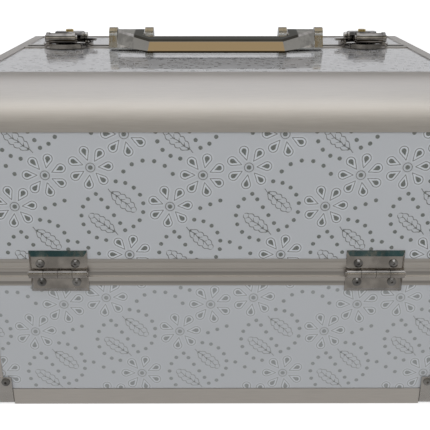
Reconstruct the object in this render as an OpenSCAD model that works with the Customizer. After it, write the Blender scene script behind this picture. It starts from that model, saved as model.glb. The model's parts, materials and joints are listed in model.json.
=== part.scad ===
// Sewing box with two lids that swing outwards and four trays that ride out on arms.
// Millimetres. +X is to the right, +Y to the far side, +Z up.
// The origin is on the floor, under the middle of the box.
//
// Whatever both long sides share is drawn once, in "side" coordinates: Y is then the distance
// inwards from the outer face of that long side. near_side() and far_side() put it in place.

/* [Box] */
// Width over the end frames
box_w = 340; // [330:1:380]
// Depth over the long walls
box_d = 260; // [250:1:290]
// Height of the lids' tops
box_h = 249; // [246:1:270]
// Height at which the lids part from the base
split_z = 113; // [110:1:116]
// Distance of the top seam behind the middle of the box
seam_y = 32.7; // [20:0.1:36]
// Radius of the rounded long top edges
edge_r = 34; // [24:1:40]
// Height of the bottom rails
bottom_rail_h = 14.3; // [10:0.1:20]
// Height of the base's rim rails
base_rim_h = 10.3; // [8:0.1:14]
// Height of the lids' rim rails
lid_rim_h = 10; // [8:0.1:14]
// Width of the edging that shows around a panel
edging_w = 8; // [6:0.5:12]
// Wall thickness of the rails
wall = 5; // [4:0.5:6]

/* [Hinges] */
// Distance of each hinge from the middle of the box
hinge_x = 112; // [80:1:125]
// Width of a hinge
hinge_w = 41; // [30:1:50]
// Radius of the hinge barrel
barrel_r = 3.1; // [2.8:0.1:3.2]
// Radius of the hinge pin
hinge_pin_r = 1.5; // [1:0.1:1.8]

/* [Handle] */
// Half the width of the handle over its arms
handle_half_w = 81; // [72:0.5:86]
// Distance of the handle's pivot axis behind the middle of the box
handle_axis_y = 20; // [10:1:22]
// Height of the handle's pivot axis above the lid
handle_axis_h = 10.7; // [10:0.1:14]
// Reach of the handle from its pivot axis to its front edge
handle_reach = 38; // [34:1:48]
// Thickness of the handle
handle_t = 9; // [6:0.5:9]
// Slope of the handle as it lies on the lid
handle_slope = 8; // [4:1:9]

/* [Latches] */
// Distance of each latch from the middle of the box
latch_x = 126; // [120:1:135]
// Radius of a latch's round base
latch_r = 21; // [18:0.5:22]
// Distance of the keeper barrel outwards from the middle of the latch
barrel_shift = 4.5; // [0:0.5:5]

/* [Trays and arms] */
// Half the outer length of a tray
tray_half_l = 157; // [150:1:157]
// Distance of the trays from the outer face of their long side
tray_start = 15; // [15:1:20]
// Depth of the two near trays
near_tray_d = 144; // [120:1:144]
// Depth of the two far trays
far_tray_d = 79; // [76:1:79]
// Underside of the lower trays
lower_tray_z = 131; // [131:1:132]
// Height of the lower trays
lower_tray_h = 40; // [32:1:40]
// Underside of the upper trays
upper_tray_z = 176; // [176:1:178]
// Height of the upper trays
upper_tray_h = 42; // [34:1:42]
// Wall thickness of the trays
tray_wall = 2; // [1.5:0.5:3]
// Inward reach of the long arms at rest
arm_dy = 64; // [62:1:66]
// Upward reach of the long arms at rest
arm_dz = 70; // [68:1:71]
// Half the width of an arm
arm_half_w = 6; // [5:0.5:6.5]

/* [Hidden] */
$fn = 48;

// Gaps and thicknesses
part_gap = 0.6;      // between a lid and the base, and between the two lids
rail_joint = 0.2;    // hairline joint between two lengths of rail
panel_t = 4.2;       // panel thickness; its face lies wall - panel_t below the rails
slip = 0.05;         // radial clearance of a pin that turns in its hole
open_slip = 0.3;     // radial clearance at the opened pivots
lining_t = 0.8;      // base lining
lid_lining_t = 0.5;  // lid lining
corner_r = 3;        // vertical corners of the rails
foot_r = 1.2;        // lower edge of the bottom rails

// Levels and distances of the box
half_w = box_w / 2;
half_d = box_d / 2;
inner_x = half_w - wall;
panel_half_w = half_w - edging_w;
panel_face = wall - panel_t;
base_top = split_z - part_gap / 2;
lid_bottom = split_z + part_gap / 2;
base_rim_z = base_top - base_rim_h;
lid_rim_top = lid_bottom + lid_rim_h;
arc_z = box_h - edge_r;
lid_ceiling = box_h - wall;
front_depth = half_d + seam_y - part_gap / 2;
back_depth = half_d - seam_y - part_gap / 2;
floor_z = 1;
floor_top = 5;

// Corner protectors
protector_w = 15.2;
protector_h = 25;
protector_t = 0.8;
protector_rivet = [10, 21];  // from the end of the box, and up

// Hinges, in side coordinates
axis_y = -3.4;
axis_z = split_z + 0.5;
leaf_t = 2.3;
leaf_edge_w = 3.4;
upper_leaf = [3.5, 16.3];    // above the axis
lower_leaf = [-15.3, -3.4];
hinge_rivets = [[12.4, 7.6], [12.4, -6.8]];  // from the middle of the hinge, from the axis
knuckles = 4;
knuckle_gap = 0.3;
rivet_r = 3.2;
rivet_shank_r = 1.6;
rivet_h = 1.3;

// Trays and arms, in side coordinates: [short arm foot, long arm foot]
front_feet = [23, 80];
back_feet = [50, 20];
arm_z = axis_z;
arm_t = 1.5;
pivot_r = 2.5;
stud_r = 3;
lug_r = 8;
bracket_x = inner_x - lining_t - arm_t;
arm_x = bracket_x - 0.3 - arm_t;
arm_angle = atan2(arm_dz, arm_dy);
arm_len = norm([arm_dy, arm_dz]);
upper_pivot_z = arm_z + arm_dz;
lower_pivot_z = arm_z + arm_dz / 2;
lid_stud_y = axis_y + arm_dy;
lip_h = 3;
lip_out = 0.8;
divider_t = 1.5;

// Handle, measured from its pivot axis
arm_w = 21.7;
grip_d = 15;
outer_cut = 26.4;
inner_cut = 5;
handle_bevel = 1.3;
handle_face_tilt = 30;   // of the front face, back from upright
handle_pin_r = 2;
ear_w = 6.8;
ear_r = 6;
ear_gap = 0.6;

// Latches, measured from the middle of the latch on the lids' tops
latch_plate_h = 2;
latch_rim_h = 3.4;
latch_rim_w = 2.4;
keeper_half_w = 9.6;
keeper_barrel_r = 4.4;
keeper_axis = [-6.4, 6.8];
cheek_t = 2.6;
lever_front = 0.8;
lever_hinge = [15.5, 6.8];
lever_half_w = 11.5;
lever_top = 11.2;
lock_r = 3.2;
lock_y = 8;
lock_h = 1.6;

// ---------- placing and drawing helpers ----------

module near_side() {
  translate([0, -half_d, 0]) children();
}

module far_side() {
  translate([0, half_d, 0]) mirror([0, 1, 0]) children();
}

module both_sides() {
  near_side() children();
  far_side() children();
}

module both_ends() {
  children();
  mirror([1, 0, 0]) children();
}

// Extrudes an outline drawn in Y and Z along X
module along_x(x0, x1) {
  translate([x0, 0, 0]) rotate([90, 0, 90]) linear_extrude(x1 - x0) children();
}

// Extrudes an outline drawn in X and Z along Y
module along_y(y0, y1) {
  translate([0, y1, 0]) rotate([90, 0, 0]) linear_extrude(y1 - y0) children();
}

module block(low, high) {
  translate(low) cube(high - low);
}

module rect(low, high) {
  translate(low) square(high - low);
}

// A cylinder along X from x0 to x1, with its axis at y, z
module rod_x(x0, x1, y, z, r) {
  translate([x0, y, z]) rotate([0, 90, 0]) cylinder(h = x1 - x0, r = r);
}

// A straight bar's plan with its two outer corners rounded, outer face at y = 0
module bar_plan(half, depth) {
  difference() {
    rect([-half, 0], [half, depth]);
    for (s = [-1, 1]) translate([s * (half - corner_r / 2), corner_r / 2])
      square(corner_r, center = true);
  }
  for (s = [-1, 1]) intersection() {
    translate([s * (half - corner_r), corner_r]) circle(corner_r);
    translate([s * (half - corner_r / 2), corner_r / 2]) square(corner_r, center = true);
  }
}

// ---------- base ----------

module base_long_panels() {
  color("white") both_sides()
    block([-panel_half_w, panel_face, bottom_rail_h], [panel_half_w, wall, base_rim_z]);
}

module base_end_panels() {
  color("white") both_ends()
    block([inner_x, -half_d + edging_w, bottom_rail_h],
          [half_w - panel_face, half_d - edging_w, base_rim_z]);
}

module base_floor() {
  color("dimgray") block([-inner_x, -half_d + wall, floor_z], [inner_x, half_d - wall, floor_top]);
}

// The plan of one vertical corner edging, with its inner corner left free
module corner_post_plan() {
  difference() {
    union() {
      rect([panel_half_w, 0], [half_w, wall]);
      rect([inner_x, 0], [half_w, edging_w]);
    }
    rect([half_w - corner_r, 0], [half_w, corner_r]);
  }
  intersection() {
    translate([half_w - corner_r, corner_r]) circle(corner_r);
    rect([half_w - corner_r, 0], [half_w, corner_r]);
  }
}

module base_corner_posts() {
  color("silver") both_sides() both_ends()
    translate([0, 0, bottom_rail_h]) linear_extrude(base_rim_z - bottom_rail_h) corner_post_plan();
}

// Cross-section of a bottom rail, outer face at 0, with a rounded lower edge
module bottom_rail_section() {
  difference() {
    rect([0, 0], [wall, bottom_rail_h - rail_joint]);
    rect([0, 0], [foot_r, foot_r]);
  }
  intersection() {
    translate([foot_r, foot_r]) circle(foot_r);
    rect([0, 0], [foot_r, foot_r]);
  }
}

module base_bottom_rails() {
  rail_half_w = half_w - protector_w + protector_t - rail_joint;
  rail_half_d = half_d - protector_w + protector_t - rail_joint;
  color("silver") {
    both_sides() along_x(-rail_half_w, rail_half_w) bottom_rail_section();
    both_ends() translate([half_w, 0, 0]) mirror([1, 0, 0])
      along_y(-rail_half_d, rail_half_d) bottom_rail_section();
  }
}

// Cross-section of the base's rim: a lower step, a flat band and a recess under the lid
module base_rim_section() {
  rect([0.5, base_rim_z], [wall, base_rim_z + 3.2]);
  rect([0, base_rim_z + 3.2], [wall, base_rim_z + 7.2]);
  rect([1, base_rim_z + 7.2], [wall, base_top]);
}

module base_rim_rails() {
  color("silver") {
    both_sides() intersection() {
      along_x(-half_w, half_w) base_rim_section();
      linear_extrude(box_h) bar_plan(half_w, wall);
    }
    both_ends() translate([half_w, 0, 0]) mirror([1, 0, 0])
      along_y(-half_d + wall + rail_joint, half_d - wall - rail_joint) base_rim_section();
  }
}

// One corner protector for the corner at +X on the near side, before its hollow is cut
module protector_blank() {
  far = half_w + protector_t;
  round_r = 5;
  intersection() {
    linear_extrude(protector_h) {
      difference() {
        rect([far - protector_w, -protector_t], [far, protector_w - protector_t]);
        rect([far - round_r, -protector_t], [far, round_r - protector_t]);
      }
      intersection() {
        translate([far - round_r, round_r - protector_t]) circle(round_r);
        rect([far - round_r, -protector_t], [far, round_r - protector_t]);
      }
    }
    along_y(-protector_t, protector_w) {
      rect([far - protector_w, round_r], [far, protector_h]);
      rect([far - protector_w, 0], [far - round_r, round_r]);
      intersection() {
        translate([far - round_r, round_r]) circle(round_r);
        rect([far - round_r, 0], [far, round_r]);
      }
    }
    along_x(far - protector_w, far) {
      rect([-protector_t, round_r], [protector_w, protector_h]);
      rect([round_r - protector_t, 0], [protector_w, round_r]);
      intersection() {
        translate([round_r - protector_t, round_r]) circle(round_r);
        rect([-protector_t, 0], [round_r - protector_t, round_r]);
      }
    }
  }
}

module corner_protectors() {
  color("gainsboro") both_sides() both_ends() difference() {
    protector_blank();
    block([0, wall, -1], [inner_x, half_d, protector_h + 1]);
    block([0, 0, bottom_rail_h - rail_joint], [half_w, half_d, protector_h + 1]);
    translate([half_w - protector_rivet[0], 1, protector_rivet[1]]) rotate([90, 0, 0])
      cylinder(h = 3, r = rivet_shank_r + slip);
    translate([half_w - 1, protector_rivet[0], protector_rivet[1]]) rotate([0, 90, 0])
      cylinder(h = 3, r = rivet_shank_r + slip);
  }
}

// A hollow dome rivet that points along -Y, with its head's underside at y = 0
module dome_rivet(shank) {
  rotate([90, 0, 0]) difference() {
    union() {
      translate([0, 0, -shank]) cylinder(h = shank, r = rivet_shank_r);
      cylinder(h = rivet_h * 0.5, r = rivet_r);
      translate([0, 0, rivet_h * 0.5]) cylinder(h = rivet_h * 0.5, r1 = rivet_r, r2 = rivet_r * 0.6);
    }
    translate([0, 0, 0.2]) cylinder(h = rivet_h, r = 0.9);
  }
}

module leaf_rivets(row) {
  for (side = [-1, 1], end = [-1, 1])
    translate([side * hinge_x + end * hinge_rivets[row][0], -leaf_t, axis_z + hinge_rivets[row][1]])
      dome_rivet(leaf_t);
}

module base_rivets() {
  color("silver") both_sides() {
    leaf_rivets(1);
    both_ends() {
      translate([half_w - protector_rivet[0], -protector_t, protector_rivet[1]])
        dome_rivet(protector_t);
      translate([half_w + protector_t, protector_rivet[0], protector_rivet[1]]) rotate([0, 0, 90])
        dome_rivet(protector_t);
    }
  }
}

module base_lining() {
  color("lightgray") difference() {
    block([-inner_x, -half_d + wall, floor_top], [inner_x, half_d - wall, base_top - 1]);
    block([-inner_x + lining_t, -half_d + wall + lining_t, floor_top + lining_t],
          [inner_x - lining_t, half_d - wall - lining_t, box_h]);
  }
}

// ---------- hinges, in side coordinates ----------

// Plan of a hinge leaf with its two side edges folded back
module leaf_plan() {
  half = hinge_w / 2;
  polygon([[-half, 1], [-half, -0.3], [2 - half, -leaf_t], [half - 2, -leaf_t], [half, -0.3], [half, 1]]);
}

// One hinge leaf with its knuckles; first is the number of its first knuckle
module leaf(section, first, web_z) {
  pitch = hinge_w / knuckles;
  difference() {
    union() {
      intersection() {
        along_x(-hinge_w / 2, hinge_w / 2) polygon(section);
        linear_extrude(box_h) leaf_plan();
      }
      for (k = [first : 2 : knuckles - 1]) {
        x0 = -hinge_w / 2 + k * pitch + knuckle_gap / 2;
        x1 = x0 + pitch - knuckle_gap;
        rod_x(x0, x1, axis_y, axis_z, barrel_r);
        block([x0, -leaf_t, min(axis_z, web_z)], [x1, -0.6, max(axis_z, web_z)]);
      }
    }
    rod_x(-hinge_w, hinge_w, axis_y, axis_z, hinge_pin_r + slip);
    for (end = [-1, 1], row = hinge_rivets)
      translate([end * row[0], 2, axis_z + row[1]]) rotate([90, 0, 0])
        cylinder(h = 6, r = rivet_shank_r + slip);
  }
}

module lid_leaves() {
  low = axis_z + upper_leaf[0];
  high = axis_z + upper_leaf[1];
  section = [
    [0, low], [-leaf_t, low], [-leaf_t, high - leaf_edge_w], [0.2, high], [panel_face, high],
    [panel_face, lid_rim_top + 0.1], [0, lid_rim_top + 0.1]
  ];
  for (side = [-1, 1]) translate([side * hinge_x, 0, 0]) leaf(section, 1, low + 0.4);
}

module base_leaves() {
  low = axis_z + lower_leaf[0];
  high = axis_z + lower_leaf[1];
  section = [
    [0, high], [-leaf_t, high], [-leaf_t, low + leaf_edge_w], [0.2, low], [panel_face, low],
    [panel_face, base_rim_z - 0.1], [0, base_rim_z - 0.1]
  ];
  for (side = [-1, 1]) translate([side * hinge_x, 0, 0]) leaf(section, 0, high - 0.4);
}

module base_hinge_leaves() {
  color("gainsboro") both_sides() base_leaves();
}

module hinge_pins() {
  overhang = 0.8;
  color("darkgray") both_sides() for (side = [-1, 1])
    rod_x(side * hinge_x - hinge_w / 2 - overhang, side * hinge_x + hinge_w / 2 + overhang,
          axis_y, axis_z, hinge_pin_r);
}

// ---------- arms and their pivots, in side coordinates ----------

module bracket_section(feet) {
  strip_low = arm_z - 34;
  strip_high = arm_z - 10;
  difference() {
    union() {
      rect([min(feet) - lug_r, strip_low], [max(feet) + lug_r, strip_high]);
      for (foot = feet) {
        rect([foot - lug_r, strip_high], [foot + lug_r, arm_z]);
        intersection() {
          translate([foot, arm_z]) circle(lug_r);
          rect([foot - lug_r, arm_z], [foot + lug_r, arm_z + lug_r]);
        }
      }
    }
    for (foot = feet) translate([foot, arm_z]) circle(pivot_r + slip);
  }
}

module arm_brackets() {
  color("silver") both_ends() {
    near_side() along_x(bracket_x, bracket_x + arm_t) bracket_section(front_feet);
    far_side() along_x(bracket_x, bracket_x + arm_t) bracket_section(back_feet);
  }
}

// Fixed pivots of one pair of arms: a head inside the arm and a shaft through arm and bracket
module foot_rivets(feet) {
  head = 1.2;
  for (foot = feet) {
    rod_x(arm_x - 0.3 - head, arm_x - 0.3, foot, arm_z, pivot_r + 2);
    rod_x(arm_x - 0.3, bracket_x + arm_t, foot, arm_z, pivot_r);
  }
}

module arm_pivot_rivets() {
  color("darkgray") both_ends() {
    near_side() foot_rivets(front_feet);
    far_side() foot_rivets(back_feet);
  }
}

// Outline of an arm along its own length, with holes at the given distances
module arm_outline(len, holes) {
  difference() {
    union() {
      rect([0, -arm_half_w], [len, arm_half_w]);
      for (x = [0, len]) translate([x, 0]) circle(arm_half_w);
    }
    for (hole = holes) translate([hole[0], 0]) circle(hole[1]);
  }
}

module arm(foot, len, holes) {
  along_x(arm_x, arm_x + arm_t) translate([foot, arm_z]) rotate(arm_angle) arm_outline(len, holes);
}

long_arm_holes = [
  [0, pivot_r + slip], [arm_len / 2, pivot_r + slip], [arm_len, pivot_r + open_slip]
];
short_arm_holes = [[0, pivot_r + slip], [arm_len / 2, pivot_r + open_slip]];

module front_long_arms() {
  color("silver") both_ends() near_side() arm(front_feet[1], arm_len, long_arm_holes);
}

module front_short_arms() {
  color("silver") both_ends() near_side() arm(front_feet[0], arm_len / 2, short_arm_holes);
}

module back_long_arms() {
  color("silver") both_ends() far_side() arm(back_feet[1], arm_len, long_arm_holes);
}

module back_short_arms() {
  color("silver") both_ends() far_side() arm(back_feet[0], arm_len / 2, short_arm_holes);
}

// Pivot studs that hold the upper tray to the lid's ends
module lid_studs() {
  flange_r = 7;
  flange_t = 1.3;
  cap_r = 5;
  face = inner_x - lid_lining_t;
  tray_inside = tray_half_l - tray_wall;
  both_ends() {
    rod_x(face - flange_t, face, lid_stud_y, upper_pivot_z, flange_r);
    rod_x(tray_inside - 0.3, face - flange_t, lid_stud_y, upper_pivot_z, stud_r);
    rod_x(tray_inside - 1.5, tray_inside - 0.3, lid_stud_y, upper_pivot_z, cap_r);
  }
}

// ---------- trays, in side coordinates ----------

// A tray shell with holes at [y, z, radius] through both of its ends
module tray(low, depth, height, holes) {
  difference() {
    union() {
      block([-tray_half_l, tray_start, low], [tray_half_l, tray_start + depth, low + height]);
      block([-tray_half_l - lip_out, tray_start - lip_out, low + height - lip_h],
            [tray_half_l + lip_out, tray_start + depth + lip_out, low + height]);
    }
    block([-tray_half_l + tray_wall, tray_start + tray_wall, low + tray_wall],
          [tray_half_l - tray_wall, tray_start + depth - tray_wall, low + height + 1]);
    for (hole = holes) rod_x(-box_w, box_w, hole[0], hole[1], hole[2]);
  }
}

module lower_tray(feet, depth) {
  tray(lower_tray_z, depth, lower_tray_h,
       [for (foot = feet) [foot + arm_dy / 2, lower_pivot_z, pivot_r + slip]]);
}

module upper_tray(feet, depth) {
  tray(upper_tray_z, depth, upper_tray_h,
       [[feet[1] + arm_dy, upper_pivot_z, pivot_r + slip], [lid_stud_y, upper_pivot_z, stud_r + slip]]);
}

// Upright dividers at the given places along a tray
module dividers(low, depth, height, places) {
  for (x = places)
    block([x - divider_t / 2, tray_start + tray_wall, low + tray_wall],
          [x + divider_t / 2, tray_start + depth - tray_wall, low + height - 4]);
}

// Rivets that join a tray to its arms: cap, spacer, shaft and head
module tray_rivets(places) {
  tray_inside = tray_half_l - tray_wall;
  cap_t = 1.2;
  both_ends() for (place = places) {
    rod_x(tray_inside - cap_t, tray_inside, place[0], place[1], pivot_r + 2);
    rod_x(tray_inside, arm_x + arm_t + 0.3, place[0], place[1], pivot_r);
    rod_x(tray_half_l, arm_x - 0.3, place[0], place[1], pivot_r + 2.5);
    rod_x(arm_x + arm_t + 0.3, arm_x + arm_t + 0.3 + cap_t, place[0], place[1], pivot_r + 2);
  }
}

module lower_tray_rivets(feet) {
  tray_rivets([for (foot = feet) [foot + arm_dy / 2, lower_pivot_z]]);
}

module upper_tray_rivets(feet) {
  tray_rivets([[feet[1] + arm_dy, upper_pivot_z]]);
}

module front_upper_tray() {
  color("gainsboro") near_side() upper_tray(front_feet, near_tray_d);
}

module front_lower_tray() {
  color("gainsboro") near_side() lower_tray(front_feet, near_tray_d);
}

module back_upper_tray() {
  color("gainsboro") far_side() upper_tray(back_feet, far_tray_d);
}

module back_lower_tray() {
  color("gainsboro") far_side() lower_tray(back_feet, far_tray_d);
}

module front_upper_dividers() {
  color("gray") near_side() dividers(upper_tray_z, near_tray_d, upper_tray_h, [-78, 0, 78]);
}

module front_lower_dividers() {
  color("gray") near_side() dividers(lower_tray_z, near_tray_d, lower_tray_h, [-52, 52]);
}

module back_upper_dividers() {
  color("gray") far_side() dividers(upper_tray_z, far_tray_d, upper_tray_h, [-78, 0, 78]);
}

module front_upper_tray_rivets() {
  color("darkgray") near_side() upper_tray_rivets(front_feet);
}

module front_lower_tray_rivets() {
  color("darkgray") near_side() lower_tray_rivets(front_feet);
}

module back_upper_tray_rivets() {
  color("darkgray") far_side() upper_tray_rivets(back_feet);
}

module back_lower_tray_rivets() {
  color("darkgray") far_side() lower_tray_rivets(back_feet);
}

// ---------- lids, in side coordinates ----------

// End outline of a lid, moved in from its outer edges and from its seam edge
module lid_outline(depth, low, outer_inset, seam_inset) {
  rect([outer_inset, low], [edge_r, arc_z]);
  rect([edge_r, low], [depth - seam_inset, box_h - outer_inset]);
  intersection() {
    translate([edge_r, arc_z]) circle(edge_r - outer_inset);
    rect([0, arc_z], [edge_r, box_h]);
  }
}

// Quarter ring around the rounded top edge
module edge_ring(thick) {
  intersection() {
    translate([edge_r, arc_z]) difference() {
      circle(edge_r);
      circle(edge_r - thick);
    }
    rect([-1, arc_z + rail_joint], [edge_r - rail_joint, box_h + 1]);
  }
}

module lid_long_panel() {
  block([-panel_half_w, panel_face, lid_rim_top], [panel_half_w, wall, arc_z]);
}

module lid_top_panel(depth) {
  block([-panel_half_w, edge_r, lid_ceiling], [panel_half_w, depth - edging_w, box_h - panel_face]);
}

module lid_end_panels(depth) {
  both_ends() along_x(inner_x, half_w - panel_face)
    lid_outline(depth, lid_rim_top, edging_w, edging_w);
}

module lid_edge_rail() {
  along_x(-panel_half_w + rail_joint, panel_half_w - rail_joint) edge_ring(wall);
}

module lid_end_frames(depth) {
  both_ends() {
    // upright at the outer corner
    translate([0, 0, lid_rim_top]) linear_extrude(arc_z - lid_rim_top) corner_post_plan();
    // rounded corner
    along_x(panel_half_w, half_w) edge_ring(wall);
    along_x(inner_x, half_w) edge_ring(edging_w);
    // top
    block([panel_half_w, edge_r, lid_ceiling], [half_w, depth, box_h]);
    block([inner_x, edge_r, box_h - edging_w], [half_w, depth, box_h]);
    // upright at the seam
    block([inner_x, depth - edging_w, lid_rim_top], [half_w, depth, box_h - edging_w - rail_joint]);
  }
}

module lid_seam_rail(depth) {
  color("silver") block([-panel_half_w + rail_joint, depth - edging_w, lid_ceiling],
                        [panel_half_w - rail_joint, depth, box_h]);
}

// Cross-section of a lid's rim with three fine grooves in its outer face
module lid_rim_section() {
  groove_w = 0.7;
  groove_depth = 0.35;
  difference() {
    rect([0, lid_bottom], [wall, lid_rim_top]);
    for (z = [2.2, 4.4, 7.6])
      rect([-1, lid_bottom + z], [groove_depth, lid_bottom + z + groove_w]);
  }
}

module lid_rim_rails(depth) {
  intersection() {
    along_x(-half_w, half_w) lid_rim_section();
    linear_extrude(box_h) bar_plan(half_w, wall);
  }
  both_ends() translate([half_w, 0, 0]) mirror([1, 0, 0])
    along_y(wall + rail_joint, depth) lid_rim_section();
}

module lid_lining(depth) {
  reach = inner_x - lid_lining_t;
  low = lid_bottom + 1;
  along_x(-reach, reach) difference() {
    lid_outline(depth, low, wall, 0);
    translate([0, -1]) lid_outline(depth + 1, low, wall + lid_lining_t - 1, -1);
    lid_outline(depth + 1, low - 1, wall + lid_lining_t, -1);
  }
  both_ends() along_x(reach, inner_x) lid_outline(depth, low, wall, 0);
}

module front_lid_long_panel() {
  color("white") near_side() lid_long_panel();
}

module front_lid_top_panel() {
  color("white") near_side() lid_top_panel(front_depth);
}

module front_lid_end_panels() {
  color("white") near_side() lid_end_panels(front_depth);
}

module front_lid_edge_rail() {
  color("silver") near_side() lid_edge_rail();
}

module front_lid_end_frames() {
  color("silver") near_side() lid_end_frames(front_depth);
}

module front_lid_seam_rail() {
  near_side() lid_seam_rail(front_depth);
}

module front_lid_rim_rails() {
  color("silver") near_side() lid_rim_rails(front_depth);
}

module front_lid_hinge_leaves() {
  color("gainsboro") near_side() lid_leaves();
}

module front_lid_rivets() {
  color("silver") near_side() leaf_rivets(0);
}

module front_lid_lining() {
  color("lightgray") near_side() lid_lining(front_depth);
}

module front_lid_pivot_studs() {
  color("darkgray") near_side() lid_studs();
}

module back_lid_long_panel() {
  color("white") far_side() lid_long_panel();
}

module back_lid_top_panel() {
  color("white") far_side() lid_top_panel(back_depth);
}

module back_lid_end_panels() {
  color("white") far_side() lid_end_panels(back_depth);
}

module back_lid_edge_rail() {
  color("silver") far_side() lid_edge_rail();
}

module back_lid_end_frames() {
  color("silver") far_side() lid_end_frames(back_depth);
}

module back_lid_seam_rail() {
  far_side() lid_seam_rail(back_depth);
}

module back_lid_rim_rails() {
  color("silver") far_side() lid_rim_rails(back_depth);
}

module back_lid_hinge_leaves() {
  color("gainsboro") far_side() lid_leaves();
}

module back_lid_rivets() {
  color("silver") far_side() leaf_rivets(0);
}

module back_lid_lining() {
  color("lightgray") far_side() lid_lining(back_depth);
}

module back_lid_pivot_studs() {
  color("darkgray") far_side() lid_studs();
}

// ---------- handle ----------

// Moves to the handle's pivot axis
module at_handle() {
  translate([0, handle_axis_y, box_h + handle_axis_h]) children();
}

// Plan of the right half of the handle, pivot axis at y = 0
module handle_plan() {
  inner = handle_half_w - arm_w;
  back = -handle_reach + grip_d;
  polygon([
    [-1, -handle_reach], [handle_half_w - outer_cut, -handle_reach],
    [handle_half_w, outer_cut - handle_reach], [handle_half_w, 0], [inner, 0],
    [inner, back + inner_cut], [inner - inner_cut, back], [-1, back]
  ]);
}

// Half of the space that the handle's front face leaves, with a bevel along its top edge.
// The face passes through y = 0 at the handle's underside and leans back.
module front_cut() {
  t = handle_t / 2;
  b = handle_bevel;
  back = tan(handle_face_tilt);
  far = 4 * handle_t;
  polygon([
    [-far, -far], [-back * (far - t), -far], [back * (handle_t - b), t - b],
    [back * (handle_t - b) + 1.8 * b, t], [back * (handle_t - b) + 1.8 * b, far], [-far, far]
  ]);
}

// Cuts the leaning front face and the two leaning corner faces off one half of the handle
module lean_cuts() {
  far = 2 * handle_half_w;
  translate([0, -handle_reach, 0]) along_x(-far, far) front_cut();
  translate([handle_half_w - outer_cut, -handle_reach, 0]) rotate([0, 0, 45]) along_x(-far, far)
    front_cut();
}

module handle_bar() {
  color("silver") at_handle() rotate([handle_slope, 0, 0]) both_ends() difference() {
    union() {
      difference() {
        translate([0, 0, -handle_t / 2]) linear_extrude(handle_t) handle_plan();
        lean_cuts();
      }
      rod_x(handle_half_w - arm_w, handle_half_w, 0, 0, handle_t / 2);
    }
    rod_x(handle_half_w - 2 * arm_w, handle_half_w + 5, 0, 0, handle_pin_r + slip);
  }
}

// Side outline of one ear
module ear_outline() {
  foot_half = 10;
  polygon([[-foot_half, 1.5 - handle_axis_h], [-ear_r, 0], [ear_r, 0], [foot_half, 1.5 - handle_axis_h]]);
  intersection() {
    circle(ear_r);
    rect([-ear_r, 0], [ear_r, ear_r]);
  }
}

module handle_brackets() {
  outer = handle_half_w + ear_gap;
  inner = handle_half_w - arm_w - ear_gap;
  color("silver") at_handle() both_ends() difference() {
    union() {
      along_x(outer, outer + ear_w) ear_outline();
      along_x(inner - ear_w, inner) ear_outline();
      block([inner - ear_w, -11, -handle_axis_h], [outer + ear_w, 11, 1.5 - handle_axis_h]);
    }
    rod_x(inner - 2 * ear_w, outer + 2 * ear_w, 0, 0, handle_pin_r + slip);
  }
}

module handle_pins() {
  outer = handle_half_w + ear_gap + ear_w;
  inner = handle_half_w - arm_w - ear_gap - ear_w;
  color("darkgray") at_handle() both_ends() rod_x(inner + 0.5, outer - 0.5, 0, 0, handle_pin_r);
}

// ---------- latches ----------

// Moves to a latch's middle on the seam; x then points outwards on both sides
module at_latch(side) {
  translate([0, seam_y, box_h]) mirror([side < 0 ? 1 : 0, 0, 0]) translate([latch_x, 0, 0]) children();
}

// Round base with a raised rim, before it is cut in two at the seam
module latch_disc() {
  cylinder(h = latch_plate_h, r = latch_r);
  difference() {
    cylinder(h = latch_rim_h, r = latch_r);
    translate([0, 0, -1]) cylinder(h = latch_rim_h + 2, r = latch_r - latch_rim_w);
  }
}

// Keeps what lies in front of the seam or behind it
module one_lid_only(y0, y1) {
  intersection() {
    children();
    block([-2 * latch_r, y0, -1], [2 * latch_r, y1, 3 * latch_r]);
  }
}

module latch_keeper() {
  cheek = keeper_half_w;
  one_lid_only(-2 * latch_r, -part_gap / 2) {
    latch_disc();
    translate([barrel_shift, 0, 0]) {
      rod_x(-cheek, cheek, keeper_axis[0], keeper_axis[1], keeper_barrel_r);
      for (x = [-cheek - cheek_t, cheek]) {
        rod_x(x, x + cheek_t, keeper_axis[0], keeper_axis[1], keeper_barrel_r + 0.6);
        block([x, keeper_axis[0] - 4.2, 0], [x + cheek_t, keeper_axis[0] + 4.2, keeper_axis[1]]);
      }
      rod_x(-cheek - cheek_t - 1.2, cheek + cheek_t + 1.2, keeper_axis[0], keeper_axis[1], 3);
    }
  }
}

module latch_keepers() {
  color("silver") for (side = [-1, 1]) at_latch(side) latch_keeper();
}

module latch_base() {
  post_half = lever_half_w + 0.4;
  one_lid_only(part_gap / 2, 2 * latch_r) latch_disc();
  difference() {
    for (x = [-post_half - 2, post_half]) {
      rod_x(x, x + 2, lever_hinge[0], lever_hinge[1], 2.8);
      block([x, lever_hinge[0] - 2.8, 0], [x + 2, lever_hinge[0] + 2.8, lever_hinge[1]]);
    }
    rod_x(-latch_r, latch_r, lever_hinge[0], lever_hinge[1], 1.2 + slip);
  }
}

module latch_bases() {
  color("silver") for (side = [-1, 1]) at_latch(side) latch_base();
}

// Side outline of the swinging lever
module lever_outline() {
  low = latch_rim_h + 0.4;
  polygon([
    [lever_front, low], [lever_hinge[0], low], [lever_hinge[0], lever_hinge[1] + 3],
    [lever_hinge[0] - 5, lever_top], [lever_front + 2.5, lever_top], [lever_front, lever_top - 2.5]
  ]);
  translate(lever_hinge) circle(lever_hinge[1] - low);
}

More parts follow.
